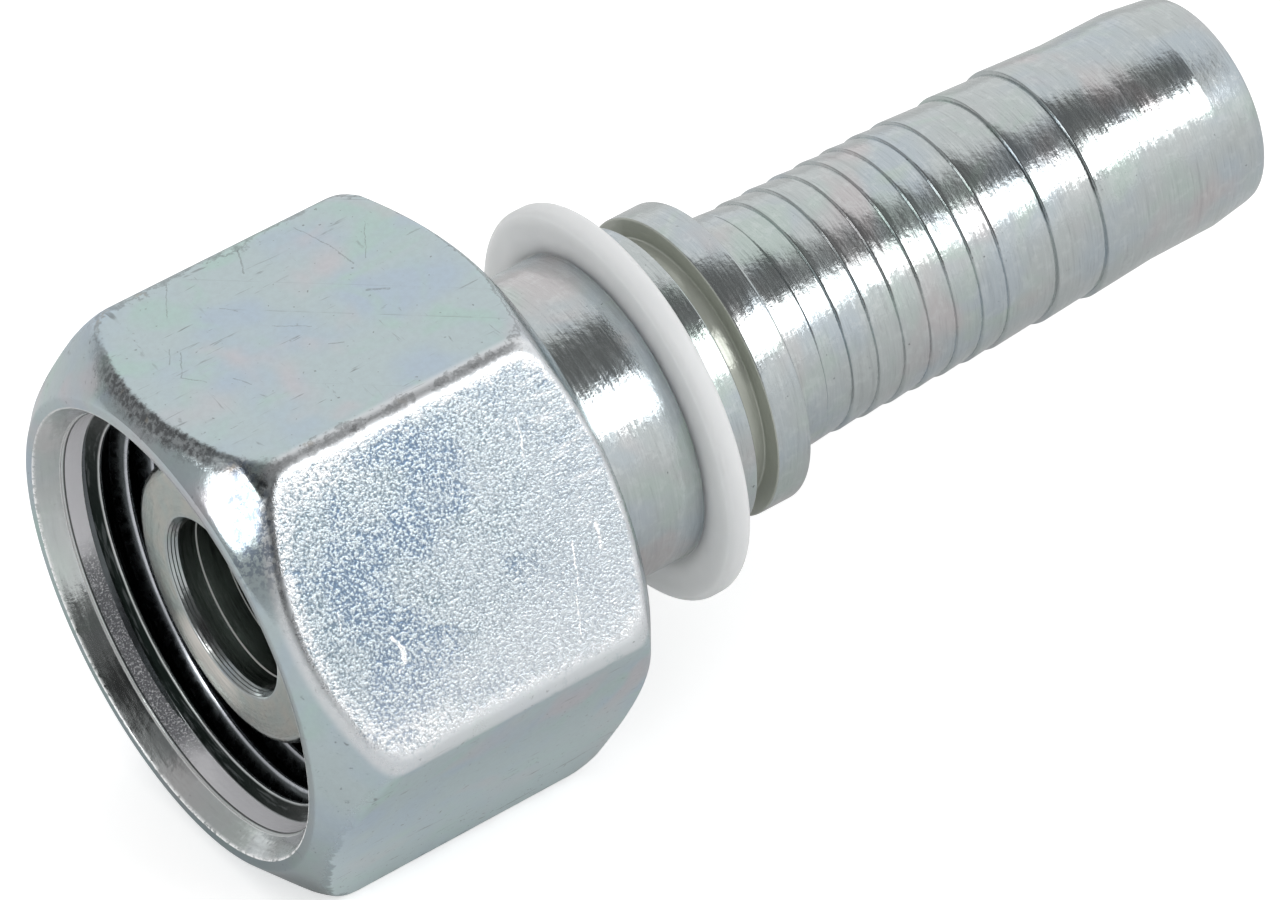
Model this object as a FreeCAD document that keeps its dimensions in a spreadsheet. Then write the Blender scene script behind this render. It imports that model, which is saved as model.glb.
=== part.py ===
import FreeCAD, Part
import math
import os

import Sketcher

# A swivel hose fitting: the insert that a hose is crimped onto, its loose union nut, and the nylon
# ring behind the nut. The origin is on the fitting's axis, in the plane of the sealing nose's flat
# face. +X runs along the axis towards the hose, +Z is up, and the nut lies on one of its flats.
# Lengths are in millimetres and angles in degrees.
doc = FreeCAD.newDocument("HoseFitting")
sheet = doc.addObject("Spreadsheet::Sheet", "Sizes")

# Driving sizes: each is measured from the nose's flat face, or says what it is a size of
DRIVING = {
    # sealing nose and head, inside the nut
    "nose_radius": 7.3,
    "nose_round": 0.7,
    "nose_half_angle": 12,
    "nose_length": 7.0,
    "head_radius": 9.6,
    "head_flare": 0.7,
    "head_length": 8.85,
    # neck, lock groove and collar
    "neck_radius": 8.2,
    "neck_end": 25.65,
    "lock_groove_width": 1.3,
    "lock_groove_radius": 7.0,
    "collar_width": 2.0,
    "collar_radius": 8.08,
    "collar_round": 0.15,
    # hose tail with its two rows of barbs and the plain end
    "tail_radius": 6.28,
    "tail_root_length": 2.3,
    "barb_pitch": 1.59,
    "barb_depth": 0.14,
    "barb_count": 7,
    "wide_barb_pitch": 3.07,
    "wide_barb_depth": 0.2,
    "wide_barb_count": 2,
    "end_taper_length": 3.9,
    "end_radius": 6.04,
    "end_land_length": 3.9,
    "tip_taper_length": 2.0,
    "tip_radius": 5.75,
    "tip_round": 0.65,
    # bore through the insert
    "nose_bore_radius": 4.57,
    "nose_bore_length": 12.0,
    "tail_bore_radius": 4.7,
    "bore_chamfer": 0.25,
    # union nut
    "across_flats": 27,
    "nut_length": 18.95,
    "nut_lead": 3.0,
    "corner_clip": 0.12,
    "front_face_radius": 12.5,
    "front_chamfer_angle": 42,
    "front_chamfer_round": 2.8,
    "rear_face_radius": 12.85,
    "rear_chamfer_angle": 35,
    "rear_chamfer_round": 2.6,
    # inside of the nut
    "mouth_radius": 11.9,
    "mouth_depth": 1.23,
    "counterbore_radius": 11.1,
    "counterbore_depth": 2.38,
    "thread_lead_angle": 63,
    "thread_minor_radius": 10.19,
    "relief_width": 1.86,
    "relief_radius": 11.15,
    "nut_setback": 1.0,
    "nut_clearance": 0.3,
    "rear_bore_chamfer": 0.4,
    # nylon ring
    "ring_position": 22.35,
    "ring_width": 1.3,
    "ring_radius": 10.55,
    "ring_round": 0.4,
    "ring_clearance": 0.05,
}

# Sizes that follow from them
DERIVED = {
    "nose_face_radius": "nose_radius - nose_round * tan((90 deg - nose_half_angle * 1 deg) / 2)",
    "nose_round_start": "nose_round * (1 - sin(nose_half_angle * 1 deg))",
    "nose_round_radius": "nose_face_radius + nose_round * cos(nose_half_angle * 1 deg)",
    "nose_base_radius": "nose_radius + nose_length * tan(nose_half_angle * 1 deg)",
    "head_front": "nose_length + head_flare",
    "shoulder_end": "head_length + head_radius - neck_radius",
    "collar_front": "neck_end + lock_groove_width",
    "collar_front_land": "collar_front + collar_round",
    "collar_round_radius": "collar_radius - collar_round",
    "collar_rear": "collar_front + collar_width",
    "collar_rear_land": "collar_rear - collar_round",
    "barbs_start": "collar_rear + tail_root_length",
    "barb_end": "barbs_start + barb_pitch",
    "barb_root": "tail_radius - barb_depth",
    "wide_start": "barbs_start + barb_pitch * barb_count",
    "wide_end": "wide_start + wide_barb_pitch",
    "wide_root": "tail_radius - wide_barb_depth",
    "end_start": "wide_start + wide_barb_pitch * wide_barb_count",
    "end_land_start": "end_start + end_taper_length",
    "end_land_end": "end_land_start + end_land_length",
    "tip_round_start": "end_land_end + tip_taper_length",
    "tip_face_radius": "tip_radius - tip_round",
    "insert_length": "tip_round_start + tip_round",
    "nose_bore_mouth": "nose_bore_radius + bore_chamfer",
    "bore_step": "nose_bore_length + tail_bore_radius - nose_bore_radius",
    "tail_bore_end": "insert_length - bore_chamfer",
    "tail_bore_mouth": "tail_bore_radius + bore_chamfer",
    "waste_radius": "tail_radius + barb_pitch",
    "flat_half": "across_flats / 2",
    "corner_radius": "across_flats / sqrt(3)",
    "corner_half": "corner_radius / 2",
    "corner_land": "corner_radius - corner_clip",
    "nut_front": "-nut_lead",
    "nut_rear": "nut_front + nut_length",
    "front_round_centre": "corner_land - front_chamfer_round",
    "front_round_radius": "front_round_centre + front_chamfer_round * cos(front_chamfer_angle * 1 deg)",
    "front_round_start": "nut_front + (front_round_radius - front_face_radius) * tan(front_chamfer_angle * 1 deg)",
    "front_land_start": "front_round_start + front_chamfer_round * sin(front_chamfer_angle * 1 deg)",
    "rear_round_centre": "corner_land - rear_chamfer_round",
    "rear_round_radius": "rear_round_centre + rear_chamfer_round * cos(rear_chamfer_angle * 1 deg)",
    "rear_round_end": "nut_rear - (rear_round_radius - rear_face_radius) * tan(rear_chamfer_angle * 1 deg)",
    "rear_land_end": "rear_round_end - rear_chamfer_round * sin(rear_chamfer_angle * 1 deg)",
    "nut_waste_radius": "corner_radius + nut_lead",
    "nut_waste_front": "nut_front - nut_lead",
    "nut_waste_rear": "nut_rear + nut_lead",
    "mouth_end": "nut_front + mouth_depth",
    "counterbore_end": "nut_front + counterbore_depth",
    "thread_lead": "(counterbore_radius - thread_minor_radius) / tan(thread_lead_angle * 1 deg)",
    "thread_start": "counterbore_end + thread_lead",
    "nut_bore_radius": "neck_radius + nut_clearance",
    "seat_end": "head_length + head_radius - nut_bore_radius + nut_setback",
    "seat_start": "seat_end - (thread_minor_radius - nut_bore_radius)",
    "thread_end": "seat_start - relief_width",
    "rear_bore_end": "nut_rear - rear_bore_chamfer",
    "rear_bore_mouth": "nut_bore_radius + rear_bore_chamfer",
    "ring_bore_radius": "neck_radius + ring_clearance",
    "ring_front_land": "ring_position + ring_round",
    "ring_rear": "ring_position + ring_width",
    "ring_rear_land": "ring_rear - ring_round",
    "ring_round_radius": "ring_radius - ring_round",
}

for row, (alias, value) in enumerate(DRIVING.items(), start=1):
    sheet.set(f"A{row}", alias)
    sheet.set(f"B{row}", str(value))
    sheet.setAlias(f"B{row}", alias)
for row, (alias, formula) in enumerate(DERIVED.items(), start=1):
    sheet.set(f"D{row}", alias)
    sheet.setAlias(f"E{row}", alias)
    sheet.set(f"E{row}", "=" + formula)
doc.recompute()


def size(name):
    """The value of a named size; a leading minus turns its sign."""
    if name == "0":
        return 0.0
    value = float(sheet.get(name.lstrip("-")))
    return -value if name.startswith("-") else value


def new_body(label):
    body = doc.addObject("PartDesign::Body", label)
    body.Label = label
    body.Placement = FreeCAD.Placement()
    return body


def origin_part(body, role):
    """One of the body's own origin planes or axes."""
    return next(part for part in body.Origin.OriginFeatures if part.Role == role)


def fix_point(sketch, edge, end, place, both=True, upright=False):
    """Tie a point of the sketch to two named sizes, or to the one that an arc leaves open."""
    for kind, name, wanted in (("DistanceX", place[0], both or upright), ("DistanceY", place[1], both or not upright)):
        if wanted:
            number = sketch.addConstraint(Sketcher.Constraint(kind, edge, end, size(name)))
            if name != "0":
                sign = "-" if name.startswith("-") else ""
                sketch.setExpression(f"Constraints[{number}]", f"{sign}Sizes.{name.lstrip('-')}")


def outline(body, name, plane, corners):
    """A closed outline on one of the body's origin planes.

    Each corner is two named sizes. A third item names the centre of an arc from that corner to
    the next one, and the arc's far end keeps the one size that it doesn't share with the centre.
    """
    sketch = body.newObject("Sketcher::SketchObject", name)
    sketch.AttachmentSupport = [(origin_part(body, plane), "")]
    sketch.MapMode = "FlatFace"
    points = [FreeCAD.Vector(size(corner[0]), size(corner[1]), 0) for corner in corners]
    after_arc = {}
    for index, corner in enumerate(corners):
        start, end = points[index], points[(index + 1) % len(points)]
        if len(corner) == 2:
            sketch.addGeometry(Part.LineSegment(start, end), False)
            continue
        centre = FreeCAD.Vector(size(corner[2][0]), size(corner[2][1]), 0)
        turn = (start - centre).cross(end - centre).z
        circle = Part.Circle(centre, FreeCAD.Vector(0, 0, 1), (start - centre).Length)
        angles = [math.atan2(p.y - centre.y, p.x - centre.x) for p in (start, end)]
        sketch.addGeometry(Part.ArcOfCircle(circle, *(angles if turn > 0 else angles[::-1])), False)
        after_arc[index] = turn > 0
    ends = [(1, 2) if after_arc.get(index, True) else (2, 1) for index in range(len(corners))]
    for index, corner in enumerate(corners):
        following = (index + 1) % len(corners)
        sketch.addConstraint(Sketcher.Constraint(
            "Coincident", index, ends[index][1], following, ends[following][0]))
        previous = corners[index - 1]
        if len(previous) == 3:
            fix_point(sketch, index, ends[index][0], corner, both=False, upright=corner[0] == previous[2][0])
        else:
            fix_point(sketch, index, ends[index][0], corner)
        if len(corner) == 3:
            fix_point(sketch, index, 3, corner[2])
    return sketch


def turned(body, kind, name, sketch):
    """Turn a sketch about the fitting's axis, as added metal or as a cut."""
    feature = body.newObject(kind, name)
    feature.Profile = sketch
    feature.ReferenceAxis = (sketch, ["H_Axis"])
    feature.Angle = 360
    sketch.Visibility = False
    return feature


def row_of(body, name, groove, count, pitch):
    """Repeat a turned cut along the axis."""
    pattern = body.newObject("PartDesign::LinearPattern", name)
    pattern.Originals = [groove]
    pattern.Direction = (origin_part(body, "X_Axis"), [""])
    pattern.setExpression("Occurrences", f"Sizes.{count}")
    pattern.setExpression("Length", f"Sizes.{pitch} * (Sizes.{count} - 1)")
    body.Tip = pattern
    return pattern


def hose_insert():
    body = new_body("hose_insert")
    blank = outline(body, "insert_blank_outline", "XZ_Plane", [
        ("0", "nose_bore_mouth"),
        ("0", "nose_face_radius", ("nose_round", "nose_face_radius")),
        ("nose_round_start", "nose_round_radius"),
        ("nose_length", "nose_base_radius"),
        ("head_front", "head_radius"),
        ("head_length", "head_radius"),
        ("shoulder_end", "neck_radius"),
        ("neck_end", "neck_radius"),
        ("neck_end", "lock_groove_radius"),
        ("collar_front", "lock_groove_radius"),
        ("collar_front", "collar_round_radius", ("collar_front_land", "collar_round_radius")),
        ("collar_front_land", "collar_radius"),
        ("collar_rear_land", "collar_radius", ("collar_rear_land", "collar_round_radius")),
        ("collar_rear", "collar_round_radius"),
        ("collar_rear", "tail_radius"),
        ("end_start", "tail_radius"),
        ("end_land_start", "end_radius"),
        ("end_land_end", "end_radius"),
        ("tip_round_start", "tip_radius", ("tip_round_start", "tip_face_radius")),
        ("insert_length", "tip_face_radius"),
        ("insert_length", "tail_bore_mouth"),
        ("tail_bore_end", "tail_bore_radius"),
        ("bore_step", "tail_bore_radius"),
        ("nose_bore_length", "nose_bore_radius"),
        ("bore_chamfer", "nose_bore_radius"),
    ])
    turned(body, "PartDesign::Revolution", "insert_blank", blank)
    # each barb falls away towards the hose end and bites with its steep side
    barb = outline(body, "barb_outline", "XZ_Plane", [
        ("barbs_start", "tail_radius"),
        ("barb_end", "barb_root"),
        ("barb_end", "waste_radius"),
        ("barbs_start", "waste_radius"),
    ])
    row_of(body, "barbs", turned(body, "PartDesign::Groove", "barb", barb), "barb_count", "barb_pitch")
    wide = outline(body, "wide_barb_outline", "XZ_Plane", [
        ("wide_start", "tail_radius"),
        ("wide_end", "wide_root"),
        ("wide_end", "waste_radius"),
        ("wide_start", "waste_radius"),
    ])
    row_of(body, "wide_barbs", turned(body, "PartDesign::Groove", "wide_barb", wide),
           "wide_barb_count", "wide_barb_pitch")
    return body


def union_nut():
    body = new_body("union_nut")
    hexagon = outline(body, "nut_hexagon", "YZ_Plane", [
        ("corner_radius", "0"),
        ("corner_half", "flat_half"),
        ("-corner_half", "flat_half"),
        ("-corner_radius", "0"),
        ("-corner_half", "-flat_half"),
        ("corner_half", "-flat_half"),
    ])
    hexagon.setExpression("AttachmentOffset.Base.z", "Sizes.nut_front")
    bar = body.newObject("PartDesign::Pad", "nut_bar")
    bar.Profile = hexagon
    bar.setExpression("Length", "Sizes.nut_length")
    hexagon.Visibility = False
    # both ends are turned to a chamfer that runs round into the corners, which leaves the scallops
    chamfers = outline(body, "nut_chamfer_outline", "XZ_Plane", [
        ("nut_front", "front_face_radius"),
        ("front_round_start", "front_round_radius", ("front_land_start", "front_round_centre")),
        ("front_land_start", "corner_land"),
        ("rear_land_end", "corner_land", ("rear_land_end", "rear_round_centre")),
        ("rear_round_end", "rear_round_radius"),
        ("nut_rear", "rear_face_radius"),
        ("nut_waste_rear", "rear_face_radius"),
        ("nut_waste_rear", "nut_waste_radius"),
        ("nut_waste_front", "nut_waste_radius"),
        ("nut_waste_front", "front_face_radius"),
    ])
    turned(body, "PartDesign::Groove", "nut_chamfers", chamfers)
    # mouth, counterbore, thread, relief, seat for the insert's head, and the bore over its neck
    inside = outline(body, "nut_inside_outline", "XZ_Plane", [
        ("nut_front", "0"),
        ("nut_front", "mouth_radius"),
        ("mouth_end", "counterbore_radius"),
        ("counterbore_end", "counterbore_radius"),
        ("thread_start", "thread_minor_radius"),
        ("thread_end", "thread_minor_radius"),
        ("thread_end", "relief_radius"),
        ("seat_start", "relief_radius"),
        ("seat_start", "thread_minor_radius"),
        ("seat_end", "nut_bore_radius"),
        ("rear_bore_end", "nut_bore_radius"),
        ("nut_rear", "rear_bore_mouth"),
        ("nut_rear", "0"),
    ])
    turned(body, "PartDesign::Groove", "nut_inside", inside)
    return body


def retaining_ring():
    body = new_body("retaining_ring")
    section = outline(body, "ring_outline", "XZ_Plane", [
        ("ring_position", "ring_bore_radius"),
        ("ring_position", "ring_round_radius", ("ring_front_land", "ring_round_radius")),
        ("ring_front_land", "ring_radius"),
        ("ring_rear_land", "ring_radius", ("ring_rear_land", "ring_round_radius")),
        ("ring_rear", "ring_round_radius"),
        ("ring_rear", "ring_bore_radius"),
    ])
    turned(body, "PartDesign::Revolution", "ring_section", section)
    return body


bodies = [hose_insert(), union_nut(), retaining_ring()]
doc.recompute()

for item in doc.Objects:
    if "Invalid" in item.State or "Error" in item.State:
        raise RuntimeError(f"{item.Label} failed: {item.State}")
for body in bodies:
    if body.Shape.isNull() or not body.Shape.isValid():
        raise RuntimeError(f"{body.Label} has no valid shape")

os.makedirs("parts", exist_ok=True)
for body in bodies:
    body.Shape.exportStep(f"parts/{body.Label}.step")
    box = body.Shape.optimalBoundingBox()
    print(f"{body.Label}: {len(body.Shape.Solids)} solid, {body.Shape.Volume:.1f} mm3,"
          f" x {box.XMin:.2f} to {box.XMax:.2f}, {box.ZLength:.2f} high")
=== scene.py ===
import math
from types import SimpleNamespace

import bpy
import numpy as np
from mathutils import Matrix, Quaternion, Vector


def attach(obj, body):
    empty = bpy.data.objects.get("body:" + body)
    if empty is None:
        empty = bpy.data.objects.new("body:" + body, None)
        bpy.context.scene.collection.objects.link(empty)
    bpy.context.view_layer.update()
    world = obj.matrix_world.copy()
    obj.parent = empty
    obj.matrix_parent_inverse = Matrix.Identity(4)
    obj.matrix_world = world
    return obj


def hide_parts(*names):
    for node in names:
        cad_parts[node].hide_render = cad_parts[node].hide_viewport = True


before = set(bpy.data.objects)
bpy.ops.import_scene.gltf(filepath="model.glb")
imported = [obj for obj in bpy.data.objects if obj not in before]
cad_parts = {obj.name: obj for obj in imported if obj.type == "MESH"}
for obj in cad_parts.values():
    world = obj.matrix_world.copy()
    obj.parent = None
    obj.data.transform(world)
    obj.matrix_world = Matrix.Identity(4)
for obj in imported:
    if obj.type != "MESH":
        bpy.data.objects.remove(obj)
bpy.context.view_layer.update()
mm = 0.001
print("frame loaded:", sorted(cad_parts))


# sockets and sums, used by the node trees below

def put(tree, socket, value):
    if isinstance(value, bpy.types.NodeSocket):
        tree.links.new(value, socket)
    elif value is not None:
        socket.default_value = value


def sumOf(tree, operation, *values, clamp=False):
    node = tree.nodes.new("ShaderNodeMath")
    node.operation = operation
    node.use_clamp = clamp
    for i, value in enumerate(values):
        put(tree, node.inputs[i], value)
    return node.outputs[0]


def vectorSum(tree, operation, *values):
    node = tree.nodes.new("ShaderNodeVectorMath")
    node.operation = operation
    for i, value in enumerate(values):
        put(tree, node.inputs[i], value)
    return node.outputs["Value" if operation in ("DOT_PRODUCT", "LENGTH", "DISTANCE") else "Vector"]


def parted(tree, vector):
    node = tree.nodes.new("ShaderNodeSeparateXYZ")
    put(tree, node.inputs[0], vector)
    return node.outputs


def joined(tree, x, y, z):
    node = tree.nodes.new("ShaderNodeCombineXYZ")
    for i, value in enumerate((x, y, z)):
        put(tree, node.inputs[i], value)
    return node.outputs[0]


def spread(tree, value, low, high, newLow=0.0, newHigh=1.0):
    node = tree.nodes.new("ShaderNodeMapRange")
    node.interpolation_type = "SMOOTHSTEP"
    for name, number in (("Value", value), ("From Min", low), ("From Max", high),
                         ("To Min", newLow), ("To Max", newHigh)):
        put(tree, node.inputs[name], number)
    return node.outputs[0]


# turned forms: a closed section (length, radius, corner rounding) in mm, spun about the X axis

def eased(corners, turnStep=12):
    points = []
    count = len(corners)
    for i, corner in enumerate(corners):
        here = Vector(corner[:2])
        rounding = corner[2] if len(corner) > 2 else 0
        back = Vector(corners[i - 1][:2]) - here
        ahead = Vector(corners[(i + 1) % count][:2]) - here
        if rounding <= 0 or back.length < 1e-9 or ahead.length < 1e-9:
            points.append(here)
            continue
        half = back.angle(ahead) / 2
        reach = min(rounding / math.tan(half), 0.48 * back.length, 0.48 * ahead.length)
        radius = reach * math.tan(half)
        start, end = here + back.normalized() * reach, here + ahead.normalized() * reach
        centre = here + (back.normalized() + ahead.normalized()).normalized() * (radius / math.sin(half))
        steps = max(2, round(math.degrees(math.pi - 2 * half) / turnStep))
        a, b = start - centre, end - centre
        sweep = a.angle_signed(b)
        for k in range(steps + 1):
            turn = -sweep * k / steps
            cos, sin = math.cos(turn), math.sin(turn)
            points.append(centre + Vector((a.x * cos - a.y * sin, a.x * sin + a.y * cos)))
    return points


def turnedMesh(name, section, angles, zones=None):
    rows, columns = len(section), len(angles)
    x = np.array([p[0] for p in section]) * mm
    r = np.array([p[1] for p in section]) * mm
    theta = np.array(angles)
    points = np.empty((rows, columns, 3))
    points[:, :, 0] = x[:, None]
    points[:, :, 1] = -r[:, None] * np.sin(theta)
    points[:, :, 2] = r[:, None] * np.cos(theta)
    faces = []
    for i in range(rows):
        above = (i + 1) % rows
        for j in range(columns):
            side = (j + 1) % columns
            faces.append((i * columns + j, i * columns + side, above * columns + side, above * columns + j))
    area = sum(x[i - 1] * r[i] - x[i] * r[i - 1] for i in range(rows))
    if area > 0:
        faces = [face[::-1] for face in faces]
    mesh = bpy.data.meshes.new(name)
    mesh.from_pydata(points.reshape(-1, 3).tolist(), [], faces)
    if zones is not None:
        mark = mesh.attributes.new("zone", "FLOAT", "POINT")
        mark.data.foreach_set("value", np.repeat(np.array(zones, np.float32), columns))
    mesh.validate()
    return mesh


def placed(name, mesh, *materials):
    piece = bpy.data.objects.new(name, mesh)
    bpy.context.scene.collection.objects.link(piece)
    for material in materials:
        mesh.materials.append(material)
    return piece


# geometry node trees

def newTree(name, inputs):
    tree = bpy.data.node_groups.new(name, "GeometryNodeTree")
    tree.interface.new_socket("Geometry", in_out="INPUT", socket_type="NodeSocketGeometry")
    for label, kind, value in inputs:
        socket = tree.interface.new_socket(label, in_out="INPUT", socket_type="NodeSocket" + kind)
        if value is not None:
            socket.default_value = value
    tree.interface.new_socket("Geometry", in_out="OUTPUT", socket_type="NodeSocketGeometry")
    source = tree.nodes.new("NodeGroupInput")
    return tree, source.outputs


def endTree(tree, geometry, finish, where=None, inside=None, insideFinish=None):
    whole = tree.nodes.new("GeometryNodeRealizeInstances")
    put(tree, whole.inputs["Geometry"], geometry)
    last = whole
    for coat, place in ((finish, where), (insideFinish, inside)):
        if coat is not None:
            step = tree.nodes.new("GeometryNodeSetMaterial")
            put(tree, step.inputs["Geometry"], last.outputs[0])
            put(tree, step.inputs["Selection"], place)
            put(tree, step.inputs["Material"], coat)
            last = step
    out = tree.nodes.new("NodeGroupOutput")
    tree.links.new(last.outputs[0], out.inputs[0])


def useTree(piece, tree, **values):
    step = piece.modifiers.new(tree.name, "NODES")
    step.node_group = tree
    names = {item.name.replace(" ", ""): item.identifier for item in tree.interface.items_tree
             if item.in_out == "INPUT"}
    for name, value in values.items():
        step[names[name]] = value


def flattened(piece, smoothTo=30):
    bpy.context.view_layer.update()
    seen = piece.evaluated_get(bpy.context.evaluated_depsgraph_get())
    mesh = bpy.data.meshes.new_from_object(seen)
    old = piece.data
    piece.modifiers.clear()
    piece.data = mesh
    bpy.data.meshes.remove(old)
    mesh.name = piece.name
    mesh.shade_smooth()
    mesh.set_sharp_from_angle(angle=math.radians(smoothTo))
    print(piece.name, len(mesh.polygons), "faces")


def readPosition(tree):
    place = tree.nodes.new("GeometryNodeInputPosition").outputs[0]
    x, y, z = parted(tree, place)
    radius = sumOf(tree, "SQRT", sumOf(tree, "ADD", sumOf(tree, "MULTIPLY", y, y),
                                       sumOf(tree, "MULTIPLY", z, z)))
    return x, y, z, radius


def moveRadius(tree, geometry, x, y, z, radius, newRadius):
    grow = sumOf(tree, "DIVIDE", newRadius, sumOf(tree, "MAXIMUM", radius, 1e-6))
    step = tree.nodes.new("GeometryNodeSetPosition")
    put(tree, step.inputs["Geometry"], geometry)
    put(tree, step.inputs["Position"], joined(tree, x, sumOf(tree, "MULTIPLY", y, grow),
                                              sumOf(tree, "MULTIPLY", z, grow)))
    return step.outputs[0]


def barbTree():
    tree, given = newTree("barbs", [("Start", "Float", 0.031), ("Pitch", "Float", 0.0016),
                                    ("Depth", "Float", 0.0001), ("Count", "Int", 7),
                                    ("Bore Radius", "Float", 0.005), ("Finish", "Material", None)])
    x, y, z, radius = readPosition(tree)
    turn = sumOf(tree, "DIVIDE", sumOf(tree, "SUBTRACT", x, given["Start"]), given["Pitch"])
    along = sumOf(tree, "FRACT", turn)
    inRow = sumOf(tree, "MULTIPLY", sumOf(tree, "GREATER_THAN", turn, 0.0),
                  sumOf(tree, "LESS_THAN", turn, given["Count"]))
    outside = sumOf(tree, "GREATER_THAN", radius, given["Bore Radius"])
    cut = sumOf(tree, "MULTIPLY", sumOf(tree, "MULTIPLY", along, given["Depth"]),
                sumOf(tree, "MULTIPLY", inRow, outside))
    shape = moveRadius(tree, given["Geometry"], x, y, z, radius, sumOf(tree, "SUBTRACT", radius, cut))
    endTree(tree, shape, given["Finish"])
    return tree


def hexagonTree():
    tree, given = newTree("hexagon", [("Half Across Flats", "Float", 0.0135),
                                      ("Corner Radius", "Float", 0.0155),
                                      ("Edge Softness", "Float", 0.0003),
                                      ("Corner Softness", "Float", 0.0003),
                                      ("Finish", "Material", None), ("Turned Finish", "Material", None)])
    x, y, z, radius = readPosition(tree)
    sixth = math.radians(60)
    sector = sumOf(tree, "ADD", sumOf(tree, "DIVIDE", sumOf(tree, "ARCTAN2", y, z), sixth), 6.5)
    sector = sumOf(tree, "SUBTRACT", sumOf(tree, "FRACT", sector), 0.5)
    flat = sumOf(tree, "DIVIDE", given["Half Across Flats"],
                 sumOf(tree, "COSINE", sumOf(tree, "MULTIPLY", sector, sixth)))
    bar = sumOf(tree, "SMOOTH_MIN", flat, given["Corner Radius"], given["Corner Softness"])
    outside = sumOf(tree, "SMOOTH_MIN", radius, bar, given["Edge Softness"])
    margin = tree.nodes.new("GeometryNodeStoreNamedAttribute")
    margin.domain = "POINT"
    margin.data_type = "FLOAT"
    put(tree, margin.inputs["Geometry"], given["Geometry"])
    put(tree, margin.inputs["Name"], "scallop")
    put(tree, margin.inputs["Value"], sumOf(tree, "MULTIPLY", sumOf(tree, "SUBTRACT", radius, bar), 1000.0))
    shape = moveRadius(tree, margin.outputs[0], x, y, z, radius, outside)
    zone = tree.nodes.new("GeometryNodeInputNamedAttribute")
    zone.data_type = "FLOAT"
    put(tree, zone.inputs["Name"], "zone")
    inside = sumOf(tree, "GREATER_THAN", zone.outputs["Attribute"], 0.5)
    endTree(tree, shape, given["Finish"], None, inside, given["Turned Finish"])
    return tree


def threadTree():
    tree, given = newTree("thread", [("Pitch", "Float", 0.0015), ("Turns", "Float", 5.0),
                                     ("Start", "Float", 0.0),
                                     ("Crest Radius", "Float", 0.0102), ("Root Radius", "Float", 0.011),
                                     ("Lead In", "Float", 0.0), ("Run Out", "Float", 0.0074),
                                     ("Steps A Turn", "Int", 150), ("Tooth", "Object", None),
                                     ("Finish", "Material", None)])
    path = tree.nodes.new("GeometryNodeCurveSpiral")
    put(tree, path.inputs["Resolution"], given["Steps A Turn"])
    put(tree, path.inputs["Rotations"], given["Turns"])
    put(tree, path.inputs["Start Radius"], given["Crest Radius"])
    put(tree, path.inputs["End Radius"], given["Crest Radius"])
    path.inputs["Reverse"].default_value = True  # a right-hand thread
    put(tree, path.inputs["Height"], sumOf(tree, "MULTIPLY", given["Turns"], given["Pitch"]))
    up = tree.nodes.new("GeometryNodeSetCurveNormal")
    up.mode = "Z_UP"
    put(tree, up.inputs["Curve"], path.outputs[0])
    tooth = tree.nodes.new("GeometryNodeObjectInfo")
    put(tree, tooth.inputs["Object"], given["Tooth"])
    ridge = tree.nodes.new("GeometryNodeCurveToMesh")
    put(tree, ridge.inputs["Curve"], up.outputs[0])
    put(tree, ridge.inputs["Profile Curve"], tooth.outputs["Geometry"])
    put(tree, ridge.inputs["Fill Caps"], True)
    lay = tree.nodes.new("GeometryNodeTransform")
    put(tree, lay.inputs["Geometry"], ridge.outputs[0])
    put(tree, lay.inputs["Rotation"], (0.0, math.radians(90), 0.0))
    put(tree, lay.inputs["Translation"], joined(tree, given["Start"], 0.0, 0.0))
    x, y, z, radius = readPosition(tree)
    leadIn = sumOf(tree, "ADD", given["Crest Radius"], sumOf(tree, "SUBTRACT", given["Lead In"], x))
    runOut = sumOf(tree, "ADD", given["Crest Radius"], sumOf(tree, "SUBTRACT", x, given["Run Out"]))
    kept = sumOf(tree, "MAXIMUM", radius, sumOf(tree, "MAXIMUM", leadIn, runOut))
    trimmed = moveRadius(tree, lay.outputs[0], x, y, z, radius,
                         sumOf(tree, "MINIMUM", kept, sumOf(tree, "ADD", given["Root Radius"], 0.0001)))
    mark = tree.nodes.new("GeometryNodeStoreNamedAttribute")
    mark.domain = "FACE"
    mark.data_type = "FLOAT"
    put(tree, mark.inputs["Geometry"], trimmed)
    put(tree, mark.inputs["Name"], "ridge")
    put(tree, mark.inputs["Value"], 1.0)
    both = tree.nodes.new("GeometryNodeJoinGeometry")
    tree.links.new(mark.outputs[0], both.inputs[0])
    tree.links.new(given["Geometry"], both.inputs[0])
    marked = tree.nodes.new("GeometryNodeInputNamedAttribute")
    marked.data_type = "FLOAT"
    put(tree, marked.inputs["Name"], "ridge")
    onRidge = sumOf(tree, "GREATER_THAN", marked.outputs["Attribute"], 0.5)
    endTree(tree, both.outputs[0], given["Finish"], onRidge)
    return tree


# finishes: patterns on Object coordinates, in metres

def newFinish(name):
    material = bpy.data.materials.new(name)
    material.use_nodes = True
    tree = material.node_tree
    shader = tree.nodes["Principled BSDF"]
    place = tree.nodes.new("ShaderNodeTexCoord").outputs["Object"]
    return material, tree, shader, place


def chained(tree, operation, first, *others):
    for value in others:
        first = sumOf(tree, operation, first, value)
    return first


def times(tree, *values):
    return chained(tree, "MULTIPLY", *values)


def plus(tree, *values):
    return chained(tree, "ADD", *values)


def largest(tree, *values):
    return chained(tree, "MAXIMUM", *values)


def oneMinus(tree, value):
    return sumOf(tree, "SUBTRACT", 1.0, value)


def offBy(tree, value, middle):
    return sumOf(tree, "ABSOLUTE", sumOf(tree, "SUBTRACT", value, middle))


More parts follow.
